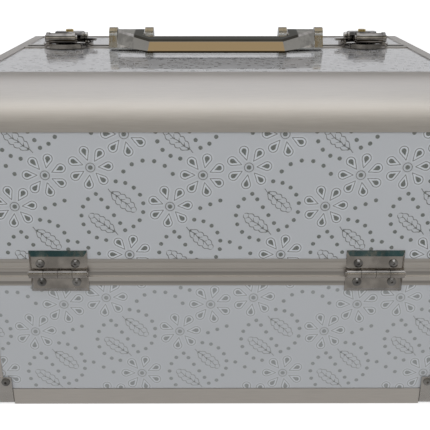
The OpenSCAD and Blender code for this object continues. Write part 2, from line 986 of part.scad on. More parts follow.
// The lever turns on its own stub axle, which runs in the posts of the latch base
module latch_lever() {
  tab_half = 3;
  difference() {
    union() {
      along_x(-lever_half_w, lever_half_w) lever_outline();
      rod_x(-lever_half_w - 2.4, lever_half_w + 2.4, lever_hinge[0], lever_hinge[1], 1.2);
      block([-latch_r - 2, 6 - tab_half, latch_rim_h + 0.4],
            [-lever_half_w + 1, 6 + tab_half, latch_rim_h + 2.4]);
    }
    translate([0, lock_y, latch_rim_h + 1.6]) cylinder(h = lever_top, r = lock_r + slip);
  }
}

module latch_lever_left() {
  color("silver") at_latch(-1) latch_lever();
}

module latch_lever_right() {
  color("silver") at_latch(1) latch_lever();
}

module lock_cylinder() {
  slot_w = 0.9;
  low = latch_rim_h + 1.6 + 0.3;
  translate([0, lock_y, 0]) difference() {
    translate([0, 0, low]) cylinder(h = lever_top + lock_h - low, r = lock_r);
    block([-lock_r * 0.7, -slot_w / 2, lever_top], [lock_r * 0.7, slot_w / 2, lever_top + 5]);
  }
}

module lock_cylinder_left() {
  color("gold") at_latch(-1) lock_cylinder();
}

module lock_cylinder_right() {
  color("gold") at_latch(1) lock_cylinder();
}

// ---------- one line per node ----------

base_long_panels();
base_end_panels();
base_floor();
base_corner_posts();
base_bottom_rails();
base_rim_rails();
corner_protectors();
base_rivets();
base_lining();
base_hinge_leaves();
hinge_pins();
arm_brackets();
arm_pivot_rivets();
front_lid_long_panel();
front_lid_top_panel();
front_lid_end_panels();
front_lid_edge_rail();
front_lid_end_frames();
front_lid_seam_rail();
front_lid_rim_rails();
front_lid_hinge_leaves();
front_lid_rivets();
front_lid_lining();
front_lid_pivot_studs();
handle_brackets();
handle_pins();
latch_keepers();
back_lid_long_panel();
back_lid_top_panel();
back_lid_end_panels();
back_lid_edge_rail();
back_lid_end_frames();
back_lid_seam_rail();
back_lid_rim_rails();
back_lid_hinge_leaves();
back_lid_rivets();
back_lid_lining();
back_lid_pivot_studs();
latch_bases();
handle_bar();
latch_lever_left();
latch_lever_right();
lock_cylinder_left();
lock_cylinder_right();
front_upper_tray();
front_lower_tray();
back_upper_tray();
back_lower_tray();
front_upper_dividers();
front_lower_dividers();
back_upper_dividers();
front_upper_tray_rivets();
front_lower_tray_rivets();
back_upper_tray_rivets();
back_lower_tray_rivets();
front_long_arms();
front_short_arms();
back_long_arms();
back_short_arms();
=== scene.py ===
"""Looks for the sewing box: camera, studio, procedural materials and the small visible details."""

import json
import math

import bmesh
import bpy
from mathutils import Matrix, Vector


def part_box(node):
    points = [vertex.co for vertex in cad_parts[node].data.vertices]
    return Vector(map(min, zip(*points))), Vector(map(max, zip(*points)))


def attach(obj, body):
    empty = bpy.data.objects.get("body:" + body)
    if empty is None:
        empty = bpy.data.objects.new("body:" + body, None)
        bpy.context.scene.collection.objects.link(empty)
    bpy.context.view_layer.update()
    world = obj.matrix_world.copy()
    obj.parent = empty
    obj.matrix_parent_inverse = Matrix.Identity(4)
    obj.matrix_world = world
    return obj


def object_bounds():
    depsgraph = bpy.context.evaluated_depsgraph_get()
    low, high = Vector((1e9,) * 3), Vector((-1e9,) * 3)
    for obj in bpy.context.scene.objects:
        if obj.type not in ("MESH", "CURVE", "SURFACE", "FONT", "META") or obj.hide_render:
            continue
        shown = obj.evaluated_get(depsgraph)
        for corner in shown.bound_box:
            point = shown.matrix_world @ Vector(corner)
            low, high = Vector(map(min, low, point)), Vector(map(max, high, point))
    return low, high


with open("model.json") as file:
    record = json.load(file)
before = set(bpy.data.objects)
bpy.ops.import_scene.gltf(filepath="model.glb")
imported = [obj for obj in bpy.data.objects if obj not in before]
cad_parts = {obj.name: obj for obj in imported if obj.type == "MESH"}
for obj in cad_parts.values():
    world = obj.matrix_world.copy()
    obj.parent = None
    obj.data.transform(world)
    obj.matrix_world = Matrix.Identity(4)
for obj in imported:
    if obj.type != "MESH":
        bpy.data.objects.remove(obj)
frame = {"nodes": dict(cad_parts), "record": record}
nodes = frame["nodes"]
cad_low, cad_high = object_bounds()
MM = 0.001


# ---------------------------------------------------------------- camera
# focal length as a share of the frame's width, and the camera's downward tilt in degrees
FOCAL_IN_WIDTHS, TILT = 1.6047, 21.547
SENSOR = 36.0
camera_data = bpy.data.cameras.new("camera")
camera_data.sensor_width = SENSOR
camera_data.lens = FOCAL_IN_WIDTHS * SENSOR
camera_data.shift_x = 0.0033
camera = bpy.data.objects.new("camera", camera_data)
bpy.context.scene.collection.objects.link(camera)
camera.location = (-0.0033, -0.5716, 0.3312)
camera.rotation_euler = (math.radians(90 - TILT), 0, -0.0022)
bpy.context.scene.camera = camera
bpy.context.scene.view_settings.view_transform = "Standard"


# ---------------------------------------------------------------- node helpers
class Graph:
    """Short names for building a node tree."""

    def __init__(self, tree):
        self.tree = tree

    def add(self, kind, **settings):
        node = self.tree.nodes.new(kind)
        for key, value in settings.items():
            setattr(node, key, value)
        return node

    def link(self, value, socket):
        if isinstance(value, bpy.types.NodeSocket):
            self.tree.links.new(value, socket)
        else:
            socket.default_value = value

    def math(self, operation, *values, clamp=False):
        node = self.add("ShaderNodeMath", operation=operation, use_clamp=clamp)
        for value, socket in zip(values, node.inputs):
            self.link(value, socket)
        return node.outputs[0]

    def length(self, first, second):
        squares = self.math("ADD", self.math("MULTIPLY", first, first), self.math("MULTIPLY", second, second))
        return self.math("SQRT", squares)

    def ramp(self, value, low, high, to_low=0.0, to_high=1.0, smooth=True):
        node = self.add("ShaderNodeMapRange")
        node.interpolation_type = "SMOOTHSTEP" if smooth else "LINEAR"
        names = ("Value", "From Min", "From Max", "To Min", "To Max")
        for item, name in zip((value, low, high, to_low, to_high), names):
            self.link(item, node.inputs[name])
        return node.outputs[0]

    def mix(self, factor, first, second):
        node = self.add("ShaderNodeMix", data_type="RGBA")
        self.link(factor, node.inputs[0])
        self.link(first, node.inputs[6])
        self.link(second, node.inputs[7])
        return node.outputs[2]

    def steps(self, value, spots):
        """A colour ramp through (position, (red, green, blue))."""
        node = self.add("ShaderNodeValToRGB")
        self.link(value, node.inputs[0])
        elements = node.color_ramp.elements
        elements[0].position, elements[1].position = 0.0, 1.0
        elements[0].color, elements[1].color = (*spots[0][1], 1), (*spots[-1][1], 1)
        for position, color in spots:
            elements.new(position).color = (*color, 1)
        return node.outputs[0]

    def noise(self, vector, scale, detail=2.0, roughness=0.5):
        node = self.add("ShaderNodeTexNoise")
        self.link(vector, node.inputs["Vector"])
        node.inputs["Scale"].default_value = scale
        node.inputs["Detail"].default_value = detail
        node.inputs["Roughness"].default_value = roughness
        return node.outputs["Fac"]

    def stretch(self, vector, scale):
        node = self.add("ShaderNodeMapping")
        self.link(vector, node.inputs["Vector"])
        node.inputs["Scale"].default_value = scale
        return node.outputs[0]


def material(name, color, metallic=0.0, roughness=0.4, **sockets):
    """A new material, its graph, its Principled shader and its object coordinates."""
    made = bpy.data.materials.new(name)
    made.use_nodes = True
    made.node_tree.nodes.clear()
    g = Graph(made.node_tree)
    shader = g.add("ShaderNodeBsdfPrincipled")
    out = g.add("ShaderNodeOutputMaterial")
    g.tree.links.new(shader.outputs[0], out.inputs[0])
    shader.inputs["Base Color"].default_value = (*color, 1)
    shader.inputs["Metallic"].default_value = metallic
    shader.inputs["Roughness"].default_value = roughness
    for key, value in sockets.items():
        shader.inputs[key.replace("_", " ")].default_value = value
    coords = g.add("ShaderNodeTexCoord").outputs["Object"]
    return made, g, shader, coords


def reopened(made):
    """The graph of a finished material, its shader and its colour socket's source."""
    g = Graph(made.node_tree)
    shader = next(node for node in made.node_tree.nodes if node.type == "BSDF_PRINCIPLED")
    return g, shader, shader.inputs["Base Color"].links[0].from_socket


def axes(g, output):
    """X, Y and Z of the object coordinates or of the object's normal."""
    split = g.add("ShaderNodeSeparateXYZ")
    g.link(g.add("ShaderNodeTexCoord").outputs[output], split.inputs[0])
    return split.outputs


def bump(g, shader, height, strength, distance):
    """Relief on the shader's surface, its distance in metres."""
    node = g.add("ShaderNodeBump")
    node.inputs["Strength"].default_value = strength
    node.inputs["Distance"].default_value = distance
    g.link(height, node.inputs["Height"])
    g.link(node.outputs[0], shader.inputs["Normal"])


def toned(color, factor):
    """The colour times a factor, as four numbers."""
    return (*[min(c * factor, 1) for c in color], 1)


def grey(value, warmth=0.0):
    """A grey, redder with warmth above 0."""
    return (value * (1 + warmth), value, value * (1 - warmth))


# ---------------------------------------------------------------- laminate with flowers, leaves and dots
# the print repeats every so many millimetres across and up
REPEAT_U, REPEAT_V = 106.5, 87.3
# flowers: centre and turn
FLOWERS = [(-116, 185.3, 0.43), (-85, 190.8, 0.075), (-32.2, 162.8, 0.075), (-61.5, 126.5, 0.43)]
# two rings of dots, each with two leaves and a dotted line between them
RINGS = [(-73.4, 158.7), (-20.6, 130.7)]
# in a ring: centre of the leaf and its direction from stem to tip
LEAVES = [(9.6, 7.5, -41.5), (-6.2, -8.1, 142)]
# in a ring, dots along circles: centre, radius, first and last angle, number of dots
RING_ARCS = [(4.9, 4.1, 18.2, -75, 90, 9), (-2.1, -3.2, 17.9, 113, 264, 8)]
RING_ROW = (6.4, -8.2, -5.6, 9.3, 4)
DOT_ARCS = [(-47, 175.5, 20.3, 32, 142, 6)]
# straight dot rows: first point, last point, number of dots
DOT_ROWS = [(-118, 161.6, -104.2, 167.2, 3), (-97.5, 136.2, -83, 127.4, 3)]


def new_group(name, inputs, outputs=("Value",)):
    tree = bpy.data.node_groups.new(name, "ShaderNodeTree")
    for item in inputs:
        tree.interface.new_socket(item, in_out="INPUT", socket_type="NodeSocketFloat")
    for item in outputs:
        tree.interface.new_socket(item, in_out="OUTPUT", socket_type="NodeSocketFloat")
    g = Graph(tree)
    return tree, g, g.add("NodeGroupInput").outputs, g.add("NodeGroupOutput").inputs


def wrapped(g, value, centre, period):
    """value measured from centre, wrapped into half a period either way."""
    moved = g.math("ADD", g.math("SUBTRACT", value, centre), period / 2)
    return g.math("SUBTRACT", g.math("FLOORED_MODULO", moved, period), period / 2)


def line(g, distance, half):
    """1 on a line where distance is near 0."""
    return g.ramp(g.math("ABSOLUTE", distance), half * 0.6, half * 1.5, 1.0, 0.0)


# a flower: number of petals, radius of their tips, length from tip to round end, radius of that end
PETALS, TIP, PETAL_LENGTH, PETAL_R = 7, 5.3, 6.9, 3.05
EYE_RING, LINE_HALF = 3.1, 0.24
# the fill starts and is full this far inside a petal's outline, and at these radii of the eye
PETAL_FILL, EYE_FILL = (1.25, 1.6), (1.75, 1.4)
# how far inside and outside a petal's outline the pale edges run
EDGE_INSIDE, EDGE_OUTSIDE = 0.75, 0.8


def flower_group():
    """Line ink, core ink and pale edge of one flower around u = v = 0."""
    tree, g, given, result = new_group("flower", ("u", "v", "turn"), ("Line", "Core", "Halo"))
    u, v, turn = given[0], given[1], given[2]
    radius = g.length(u, v)
    angle = g.math("SUBTRACT", g.math("ARCTAN2", v, u), turn)
    step = 2 * math.pi / PETALS
    sector = g.math("ADD", g.math("DIVIDE", angle, step), 0.5)
    local = g.math("MULTIPLY", g.math("SUBTRACT", g.math("FRACT", sector), 0.5), step)
    along = g.math("SUBTRACT", g.math("MULTIPLY", radius, g.math("COSINE", local)), TIP)
    across = g.math("ABSOLUTE", g.math("MULTIPLY", radius, g.math("SINE", local)))
    # distance to a drop: a point at the tip joined to a round end
    sine = -PETAL_R / PETAL_LENGTH
    cosine = math.sqrt(1 - sine * sine)
    side = g.math("ADD", g.math("MULTIPLY", across, cosine), g.math("MULTIPLY", along, sine))
    reach = g.math("ADD", g.math("MULTIPLY", across, -sine), g.math("MULTIPLY", along, cosine))
    tip = g.length(across, along)
    beyond = g.math("SUBTRACT", along, PETAL_LENGTH)
    end = g.math("SUBTRACT", g.length(across, beyond), PETAL_R)
    past_end = g.math("GREATER_THAN", reach, cosine * PETAL_LENGTH)
    before_tip = g.math("LESS_THAN", reach, 0.0)
    drop = g.math("ADD", side, g.math("MULTIPLY", past_end, g.math("SUBTRACT", end, side)))
    drop = g.math("ADD", drop, g.math("MULTIPLY", before_tip, g.math("SUBTRACT", tip, drop)))
    ring = g.math("SUBTRACT", radius, EYE_RING)
    lines = g.math("MAXIMUM", line(g, drop, LINE_HALF), line(g, ring, LINE_HALF))
    fill = g.ramp(drop, -PETAL_FILL[0], -PETAL_FILL[1])
    core = g.math("MAXIMUM", fill, g.ramp(radius, *EYE_FILL))
    inner_edge = g.ramp(g.math("ABSOLUTE", g.math("ADD", drop, EDGE_INSIDE)), 0.45, 0.95, 1.0, 0.0)
    outer_edge = g.ramp(g.math("ABSOLUTE", g.math("SUBTRACT", drop, EDGE_OUTSIDE)), 0.3, 0.7, 0.5, 0.0)
    g.link(lines, result[0])
    g.link(core, result[1])
    g.link(g.math("MAXIMUM", inner_edge, outer_edge), result[2])
    return tree


# a leaf: half its length, half its width, how fast its lobes follow each other, length of its stem
LEAF_HALF, LEAF_BELLY, LOBE_RATE, STEM = 10.6, 4.7, 0.72, 3.4
# knots along its midrib: place and radius
LEAF_KNOTS = [(-10.0, 1.0), (-6.2, 0.85), (-2.2, 0.75), (1.8, 0.55)]


def leaf_group():
    """Line ink and knot ink of one leaf around u = v = 0, stem to tip along the first axis."""
    tree, g, given, result = new_group("leaf", ("u", "v"), ("Line", "Core"))
    s, t = given[0], given[1]
    share = g.math("DIVIDE", s, LEAF_HALF)
    room = g.math("MAXIMUM", g.math("SUBTRACT", 1.0, g.math("MULTIPLY", share, share)), 0.0)
    belly = g.math("MULTIPLY", g.math("POWER", room, 0.55), LEAF_BELLY)
    lobes = g.math("ABSOLUTE", g.math("SINE", g.math("MULTIPLY", g.math("ADD", s, 0.6), LOBE_RATE)))
    # the outline swells and pinches along the belly
    edge = g.math("MULTIPLY", belly, g.math("ADD", g.math("MULTIPLY", lobes, 0.26), 0.72))
    height = g.math("ABSOLUTE", t)
    inside = g.math("LESS_THAN", g.math("ABSOLUTE", s), LEAF_HALF)
    outline = g.math("MULTIPLY", line(g, g.math("SUBTRACT", height, edge), LINE_HALF * 1.35), inside)
    sway = g.math("MULTIPLY", g.math("SINE", g.math("MULTIPLY", s, 0.75)), 0.35)
    stem_room = g.math("LESS_THAN", g.math("ABSOLUTE", g.math("ADD", s, STEM)), LEAF_HALF)
    midrib = g.math("MULTIPLY", line(g, g.math("SUBTRACT", t, sway), LINE_HALF * 1.2), stem_room)
    # the veins lean back from the midrib, one to each lobe
    slant = g.math("DIVIDE", g.math("ADD", s, g.math("MULTIPLY", height, -0.8)), math.pi / LOBE_RATE)
    vein = g.math("MULTIPLY", g.math("SUBTRACT", g.math("FRACT", slant), 0.5), 3.4)
    vein_room = g.math("LESS_THAN", height, g.math("MULTIPLY", edge, 0.6))
    veins = g.math("MULTIPLY", g.math("MULTIPLY", line(g, vein, LINE_HALF * 0.8), vein_room), inside)
    g.link(g.math("MAXIMUM", g.math("MAXIMUM", outline, midrib), veins), result[0])
    knots = None
    for place, radius in LEAF_KNOTS:
        off = g.math("SUBTRACT", s, place)
        reach = g.length(off, t)
        knot = g.ramp(reach, radius * 0.6, radius * 1.15, 1.0, 0.0)
        knots = knot if knots is None else g.math("MAXIMUM", knots, knot)
    g.link(knots, result[1])
    return tree


DOT_R = 1.5
# angles just before an arc's first dot still belong to it
ARC_LEAD = 0.6


def dot_ink(g, across, along):
    """1 within a dot whose centre is this far off in each direction."""
    return g.ramp(g.length(across, along), DOT_R * 0.8, DOT_R * 1.12, 1.0, 0.0)


def arc_group():
    """Dots along a circle's arc around u = v = 0."""
    names = ("u", "v", "radius", "first", "step", "last")
    tree, g, given, result = new_group("dot_arc", names)
    u, v, radius, first, step, last = [given[name] for name in names]
    away = g.length(u, v)
    angle = g.math("SUBTRACT", g.math("ARCTAN2", v, u), first)
    angle = g.math("FLOORED_MODULO", g.math("ADD", angle, ARC_LEAD), 2 * math.pi)
    angle = g.math("SUBTRACT", angle, ARC_LEAD)
    index = g.math("ROUND", g.math("DIVIDE", angle, step))
    index = g.math("MINIMUM", g.math("MAXIMUM", index, 0.0), last)
    off = g.math("SUBTRACT", angle, g.math("MULTIPLY", index, step))
    across = g.math("MULTIPLY", away, g.math("SINE", off))
    along = g.math("SUBTRACT", g.math("MULTIPLY", away, g.math("COSINE", off)), radius)
    near = g.math("LESS_THAN", g.math("ABSOLUTE", off), 1.2)
    g.link(g.math("MULTIPLY", dot_ink(g, across, along), near), result[0])
    return tree


def row_group():
    """Dots along a straight row that starts at u = v = 0 and runs along the first axis."""
    names = ("u", "v", "step", "last")
    tree, g, given, result = new_group("dot_row", names)
    u, v, step, last = [given[name] for name in names]
    index = g.math("ROUND", g.math("DIVIDE", u, step))
    index = g.math("MINIMUM", g.math("MAXIMUM", index, 0.0), last)
    across = g.math("SUBTRACT", u, g.math("MULTIPLY", index, step))
    g.link(dot_ink(g, across, v), result[0])
    return tree


def pattern_group():
    """The whole repeat at u, v in millimetres: line ink, core ink and pale edges."""
    flower, leaf, arc, row = flower_group(), leaf_group(), arc_group(), row_group()
    tree, g, given, result = new_group("pattern", ("u", "v"), ("Line", "Core", "Halo"))
    u, v = given[0], given[1]

    def use(group, *values):
        node = g.add("ShaderNodeGroup", node_tree=group)
        for value, socket in zip(values, node.inputs):
            g.link(value, socket)
        return node.outputs

    def turned(du, dv, degrees):
        c, s = math.cos(math.radians(degrees)), math.sin(math.radians(degrees))
        along = g.math("ADD", g.math("MULTIPLY", du, c), g.math("MULTIPLY", dv, s))
        across = g.math("SUBTRACT", g.math("MULTIPLY", dv, c), g.math("MULTIPLY", du, s))
        return along, across

    def local(cu, cv):
        return wrapped(g, u, cu, REPEAT_U), wrapped(g, v, cv, REPEAT_V)

    lines, cores, halos = [], [], []
    for cu, cv, turn in FLOWERS:
        made = use(flower, *local(cu, cv), turn)
        lines.append(made[0])
        cores.append(made[1])
        halos.append(made[2])
    arcs, rows = list(DOT_ARCS), list(DOT_ROWS)
    for ru, rv in RINGS:
        for cu, cv, degrees in LEAVES:
            made = use(leaf, *turned(*local(ru + cu, rv + cv), degrees))
            lines.append(made[0])
            cores.append(made[1])
        arcs += [(ru + cu, rv + cv, *rest) for cu, cv, *rest in RING_ARCS]
        u0, v0, u1, v1, count = RING_ROW
        rows.append((ru + u0, rv + v0, ru + u1, rv + v1, count))
    for cu, cv, radius, first, last, count in arcs:
        step = math.radians(last - first) / (count - 1)
        cores.append(use(arc, *local(cu, cv), float(radius), math.radians(first), step, float(count - 1))[0])
    for u0, v0, u1, v1, count in rows:
        degrees = math.degrees(math.atan2(v1 - v0, u1 - u0))
        step = math.hypot(u1 - u0, v1 - v0) / (count - 1)
        cores.append(use(row, *turned(*local(u0, v0), degrees), step, float(count - 1))[0])
    for found, socket in zip((lines, cores, halos), result):
        total = found[0]
        for item in found[1:]:
            total = g.math("MAXIMUM", total, item)
        g.link(total, socket)
    return tree


PATTERN = pattern_group()
# darkest and lightest ink of the filled shapes, and the ink of the outlines
INKS = [(0.07, 0.10, 0.095), (0.17, 0.175, 0.155), (0.14, 0.15, 0.15)]


def laminate(name, u_axis, v_axis, shift, ink, paper, gloss=0.6, ink_tone=1.0, warmth=0.0):
    """Glossy white laminate of tone paper, printed in the plane of the two axes.

    The shift moves the print, ink is its strength and ink_tone its lightness.
    """
    coat = {"Coat_Weight": gloss, "Coat_Roughness": 0.02}
    made, g, shader, coords = material(name, grey(paper), roughness=0.16, **coat)
    place = axes(g, "Object")
    wobble = g.math("MULTIPLY", g.math("SUBTRACT", g.noise(coords, 900, 1), 0.5), 0.35)
    u = g.math("ADD", g.math("MULTIPLY", place[u_axis], 1 / MM), wobble)
    v = g.math("ADD", g.math("MULTIPLY", place[v_axis], 1 / MM), wobble)
    pattern = g.add("ShaderNodeGroup", node_tree=PATTERN)
    g.link(g.math("ADD", u, shift[0]), pattern.inputs[0])
    g.link(g.math("ADD", v, shift[1]), pattern.inputs[1])
    lines, cores, halos = pattern.outputs
    mottle = g.ramp(g.noise(coords, 1500, 3, 0.7), 0.35, 0.65, 0.75, 1.0)
    cloud = g.ramp(g.noise(coords, 14, 2), 0.3, 0.7, 0.96, 1.0)
    white = (paper * (0.91 + warmth), paper * 0.96, paper * (1.05 - warmth))
    base = g.mix(cloud, (*white, 1), toned(white, 1.02))
    base = g.mix(g.math("MULTIPLY", halos, ink * 0.8), base, toned(white, 1.28))
    darkest, lightest, outline = [toned(ink_color, ink_tone) for ink_color in INKS]
    core_ink = g.mix(g.noise(coords, 700, 2), darkest, lightest)
    printed = g.mix(g.math("MULTIPLY", g.math("MULTIPLY", cores, mottle), ink), base, core_ink)
    printed = g.mix(g.math("MULTIPLY", lines, ink * 0.85), printed, outline)
    g.link(printed, shader.inputs["Base Color"])
    g.link(g.ramp(g.noise(coords, 60, 3), 0.3, 0.7, 0.11, 0.2), shader.inputs["Roughness"])
    pressed = g.math("MAXIMUM", lines, cores)
    bump(g, shader, g.math("ADD", g.math("MULTIPLY", pressed, -0.5), g.noise(coords, 260, 2)), 0.08, 0.0002)
    return made


# ---------------------------------------------------------------- metals and the rest
GRAIN_ACROSS, GRAIN_ALONG = 2200.0, 60.0


def brushed(name, color, axis, roughness, streak=0.05):
    """Satin aluminium with fine lines along one axis."""
    made, g, shader, coords = material(name, color, 1.0, roughness)
    scale = [GRAIN_ACROSS] * 3
    scale["xyz".index(axis)] = GRAIN_ALONG
    grain = g.noise(g.stretch(coords, scale), 1.0, 3, 0.6)
    cloud = g.noise(coords, 22, 3)
    light = g.ramp(g.math("ADD", g.math("MULTIPLY", grain, 0.75), g.math("MULTIPLY", cloud, 0.25)), 0.3, 0.7)
    g.link(g.mix(light, toned(color, 1 - streak), toned(color, 1 + streak)), shader.inputs["Base Color"])
    g.link(g.ramp(grain, 0.3, 0.7, roughness * 0.92, roughness * 1.08), shader.inputs["Roughness"])
    bump(g, shader, grain, 0.05, 0.0001)
    return made


RIM_LOW, RIM_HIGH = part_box("base_rim_rails")[0].z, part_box("front_lid_rim_rails")[1].z
# tone of the rim rails by height in millimetres above their lowest edge: painted shade in the grooves and
# painted highlight on the ribs of the extrusion, also used as their relief
RIB_RELIEF_AND_SHADE = [
    (0.2, 0.85), (1.2, 0.85), (1.6, 0.62), (3.6, 0.62), (4.1, 1.06), (7.6, 1.06), (8.2, 0.70),
    (10.9, 0.62), (11.6, 0.92), (13.6, 0.88), (14.6, 1.0), (17.9, 1.02), (18.5, 0.88), (20.0, 0.92),
]


def ribbed(name, color, axis, roughness):
    """Satin aluminium of the rim extrusions, with the relief of their ribs and grooves and their light and
    shade painted into the colour.
    """
    made = brushed(name, color, axis, roughness)
    g, shader, plain = reopened(made)
    height = g.ramp(axes(g, "Object")[2], RIM_LOW, RIM_HIGH, smooth=False)
    rib_relief_and_shade = g.steps(height, [(level * MM / (RIM_HIGH - RIM_LOW), grey(tone)) for level, tone in RIB_RELIEF_AND_SHADE])
    # multiplies the painted shade and highlight of the ribs into the metal's colour
    painted_rib_shade = g.add("ShaderNodeMix", data_type="RGBA", blend_type="MULTIPLY")
    g.link(1.0, painted_rib_shade.inputs[0])
    g.link(plain, painted_rib_shade.inputs[6])
    g.link(rib_relief_and_shade, painted_rib_shade.inputs[7])
    g.link(painted_rib_shade.outputs[2], shader.inputs["Base Color"])
    bump(g, shader, rib_relief_and_shade, 0.35, 0.0008)
    return made


def polished(name, color, roughness, depth=0.07):
    """Plated metal with faint smears and a little casting waviness."""
    made, g, shader, coords = material(name, color, 1.0, roughness)
    smear = g.noise(g.stretch(coords, (120, 60, 60)), 1.0, 4, 0.7)
    g.link(g.ramp(smear, 0.35, 0.75, roughness * 0.6, roughness * 2.2), shader.inputs["Roughness"])
    tone = g.ramp(g.noise(coords, 90, 2), 0.35, 0.65)
    g.link(g.mix(tone, toned(color, 1 - depth), (*color, 1)), shader.inputs["Base Color"])
    bump(g, shader, g.noise(coords, 55, 2), 0.1, 0.0004)
    return made


BAR_LOW, BAR_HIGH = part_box("handle_bar")
# where the folded grip's underside ends and its crown starts, and where its straight part ends
GRIP_UNDERSIDE, GRIP_CROWN = BAR_LOW.z + 1.25 * MM, BAR_LOW.z + 8.05 * MM
GRIP_HALF = BAR_HIGH.x - 15.0 * MM


def grip(name, color, roughness):
    """Chrome with a painted dark reflection along the flats and crown slope of the grip's straight part, and
    painted shade on its underside.
    """
    made, g, shader, coords = material(name, color, 1.0, roughness)
    facing = axes(g, "Normal")[2]
    place = axes(g, "Object")
    crown = g.ramp(place[2], GRIP_CROWN, GRIP_CROWN + 0.4 * MM)
    # mask of painted dark: reflection on the flats and the crown's slope, shade on the underside
    slope = g.math("MULTIPLY", g.ramp(facing, 0.7, 0.75), crown)
    flat = g.math("MAXIMUM", g.ramp(facing, 0.93, 0.97), slope)
    flat = g.math("MAXIMUM", flat, g.ramp(place[2], GRIP_UNDERSIDE, GRIP_UNDERSIDE + 0.5 * MM, 1.0, 0.0))
    middle = g.ramp(g.math("ABSOLUTE", place[0]), GRIP_HALF, GRIP_HALF + 1.5 * MM, 1.0, 0.0)
    # near-black colour painted on that mask as reflection and shade
    painted_dark_reflection = g.mix(g.noise(coords, 40, 3), (0.03, 0.027, 0.02, 1), (0.06, 0.055, 0.042, 1))
    blotch = g.ramp(g.noise(coords, 130, 3, 0.6), 0.38, 0.62)
    plain = g.mix(blotch, toned(color, 0.72), (*color, 1))
    plain = g.mix(middle, plain, (*color, 1))
    g.link(g.mix(g.math("MULTIPLY", flat, middle), plain, painted_dark_reflection), shader.inputs["Base Color"])
    smear = g.noise(g.stretch(coords, (30, 160, 160)), 1.0, 4, 0.7)
    g.link(g.ramp(smear, 0.35, 0.75, roughness * 0.6, roughness * 2.2), shader.inputs["Roughness"])
    bump(g, shader, g.noise(coords, 55, 2), 0.1, 0.0004)
    return made


# warm brown painted on upward chrome faces as a reflection of the room
PAINTED_WARM_REFLECTION = (0.30, 0.25, 0.17)


def bracket(name, color, roughness):
    """Chrome with a painted warm reflection on its upward ends."""
    made = polished(name, color, roughness, 0.2)
    g, shader, plain = reopened(made)
    # the upward faces get the painted warm reflection
    upward = g.ramp(axes(g, "Normal")[2], 0.2, 0.6)
    g.link(g.mix(upward, plain, (*PAINTED_WARM_REFLECTION, 1)), shader.inputs["Base Color"])
    return made


def velvet(name, color):
    """Short-pile cloth with a nap and broad strokes in it."""
    made, g, shader, coords = material(name, color, roughness=0.95, Sheen_Weight=0.7, Sheen_Roughness=0.4)
    shader.inputs["Sheen Tint"].default_value = (0.6, 0.6, 0.65, 1)
    nap = g.noise(coords, 2500, 2, 0.7)
    stroke = g.noise(g.stretch(coords, (18, 40, 40)), 1.0, 3)
    both = g.ramp(g.math("ADD", g.math("MULTIPLY", nap, 0.5), g.math("MULTIPLY", stroke, 0.5)), 0.35, 0.65)
    g.link(g.mix(both, toned(color, 0.6), toned(color, 1.5)), shader.inputs["Base Color"])
    bump(g, shader, nap, 0.5, 0.0004)
    return made


def moulded(name, color, roughness):
    """Plastic or rubber with a fine grain."""
    made, g, shader, coords = material(name, color, roughness=roughness)
    grain = g.noise(coords, 1400, 2, 0.6)
    cloud = g.noise(coords, 18, 3)
    g.link(g.mix(cloud, toned(color, 0.92), toned(color, 1.06)), shader.inputs["Base Color"])
    g.link(g.ramp(cloud, 0.3, 0.7, roughness * 0.85, roughness * 1.15), shader.inputs["Roughness"])
    bump(g, shader, grain, 0.25, 0.00015)
    return made


FELT, BARE_RIM = (0.030, 0.030, 0.034), (0.62, 0.61, 0.59)
FELT_RISE, RIM_DROP = 4.0 * MM, 0.8 * MM


def tray_look(name, node):
    """Grey moulded tray with a felt floor and a bare aluminium rim."""
    low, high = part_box(node)
    made = moulded(name, grey(0.52), 0.42)
    g, shader, plain = reopened(made)
    height = axes(g, "Object")[2]
    facing_up = g.math("GREATER_THAN", axes(g, "Normal")[2], 0.9)
    floor_mask = g.math("MULTIPLY", facing_up, g.math("LESS_THAN", height, low.z + FELT_RISE))
    rim_mask = g.math("MULTIPLY", facing_up, g.math("GREATER_THAN", height, high.z - RIM_DROP))
    coords = g.add("ShaderNodeTexCoord").outputs["Object"]
    nap = g.ramp(g.noise(coords, 1800, 2, 0.7), 0.3, 0.7)
    felt = g.mix(nap, toned(FELT, 0.6), toned(FELT, 1.7))
    rough = shader.inputs["Roughness"]
    plain_rough = rough.links[0].from_socket
    colored = g.mix(rim_mask, g.mix(floor_mask, plain, felt), (*BARE_RIM, 1))
    g.link(colored, shader.inputs["Base Color"])
    covered = g.math("ADD", g.math("MULTIPLY", floor_mask, 0.55), g.math("MULTIPLY", rim_mask, -0.12))
    g.link(g.math("ADD", plain_rough, covered), rough)
    g.link(rim_mask, shader.inputs["Metallic"])
    return made


PAPER = 0.67
long_upper = laminate("laminate_long_upper", 0, 2, (0.0, 0.0), 1.0, PAPER)
long_lower = laminate("laminate_long_lower", 0, 2, (-5.0, 11.3), 0.6, PAPER)
# the top panels take a darker, warmer copy of the same paper and ink: painted shade
shaded_top_print = laminate("laminate_top_shaded", 0, 1, (0.0, 20.0), 1.0, PAPER * 0.68, 0.65, 0.08, 0.05)
end_print = laminate("laminate_end", 1, 2, (0.0, 0.0), 0.8, PAPER)
edge_metal = brushed("rounded_rail_satin", grey(0.53, 0.05), "x", 0.46)
rim_metal = ribbed("rim_rail_satin", grey(0.56, 0.05), "x", 0.38)
bottom_metal = brushed("bottom_rail_satin", grey(0.62, 0.05), "x", 0.38)
frame_metal = brushed("edging_satin", grey(0.58, 0.045), "z", 0.38)
chrome = polished("chrome", grey(0.66, 0.04), 0.07, 0.2)
